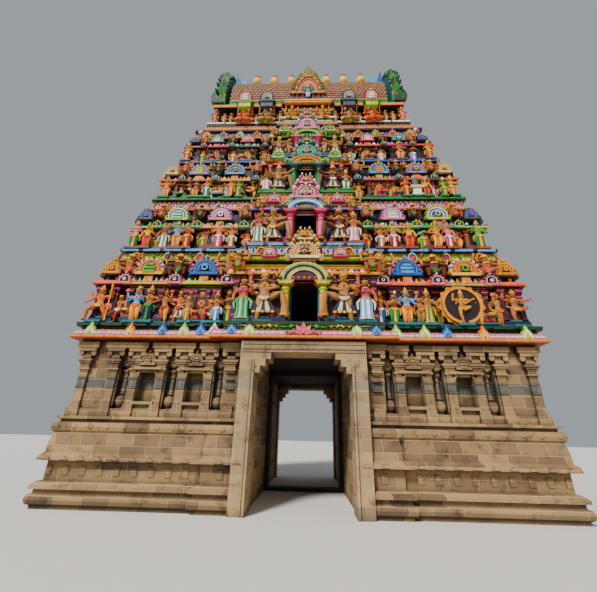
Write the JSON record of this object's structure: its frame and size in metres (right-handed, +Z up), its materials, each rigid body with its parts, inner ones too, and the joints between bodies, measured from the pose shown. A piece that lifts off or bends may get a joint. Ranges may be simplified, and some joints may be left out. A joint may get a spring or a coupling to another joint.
{
  "type": "temple gateway tower",
  "caption": "South Indian temple gateway tower: granite base with a passage through it, painted storeys that step back, barrel roof with pot finials.",
  "frame": {"origin": "on the ground under the middle of the tower", "axes": "+X to the right along the front, +Y from the front gate to the back gate, +Z up"},
  "size_m": [16.14, 10.26, 25.77],
  "materials": {
    "granite": "dressed blocks, weathered",
    "painted_stucco": "brick coated with lime stucco, painted in many colours",
    "painted_tiles": "painted tiles with a net pattern",
    "painted_finials": "painted pots"
  },
  "bodies": {
    "root": {"plinth_right": "granite", "basement_right": "granite", "stone_wall_right": "granite", "plinth_left": "granite", "basement_left": "granite", "stone_wall_left": "granite", "stone_front_right": "granite", "stone_front_left": "granite", "stone_back_right": "granite", "stone_back_left": "granite", "stone_front_corner_right": "granite", "stone_front_corner_left": "granite", "stone_back_corner_right": "granite", "stone_back_corner_left": "granite", "front_gate_frame": "granite", "back_gate_frame": "granite", "inner_door_frame": "granite", "passage_ceiling": "granite", "stone_cornice": "painted_stucco", "tier_1_floor": "painted_stucco", "tier_1_front_wall": "painted_stucco", "tier_1_back_wall": "painted_stucco", "tier_1_right_wall": "painted_stucco", "tier_1_left_wall": "painted_stucco", "tier_2_floor": "painted_stucco", "tier_2_front_wall": "painted_stucco", "tier_2_back_wall": "painted_stucco", "tier_2_right_wall": "painted_stucco", "tier_2_left_wall": "painted_stucco", "tier_3_floor": "painted_stucco", "tier_3_front_wall": "painted_stucco", "tier_3_back_wall": "painted_stucco", "tier_3_right_wall": "painted_stucco", "tier_3_left_wall": "painted_stucco", "tier_4_floor": "painted_stucco", "tier_4_front_wall": "painted_stucco", "tier_4_back_wall": "painted_stucco", "tier_4_right_wall": "painted_stucco", "tier_4_left_wall": "painted_stucco", "top_parapet": "painted_stucco", "neck_floor": "painted_stucco", "neck_front_wall": "painted_stucco", "neck_back_wall": "painted_stucco", "neck_right_wall": "painted_stucco", "neck_left_wall": "painted_stucco", "roof_eave": "painted_stucco", "roof_vault": "painted_tiles", "right_gable": "painted_stucco", "left_gable": "painted_stucco", "front_crest": "painted_stucco", "back_crest": "painted_stucco", "ridge_finials": "painted_finials"}
  },
  "joints": []
}
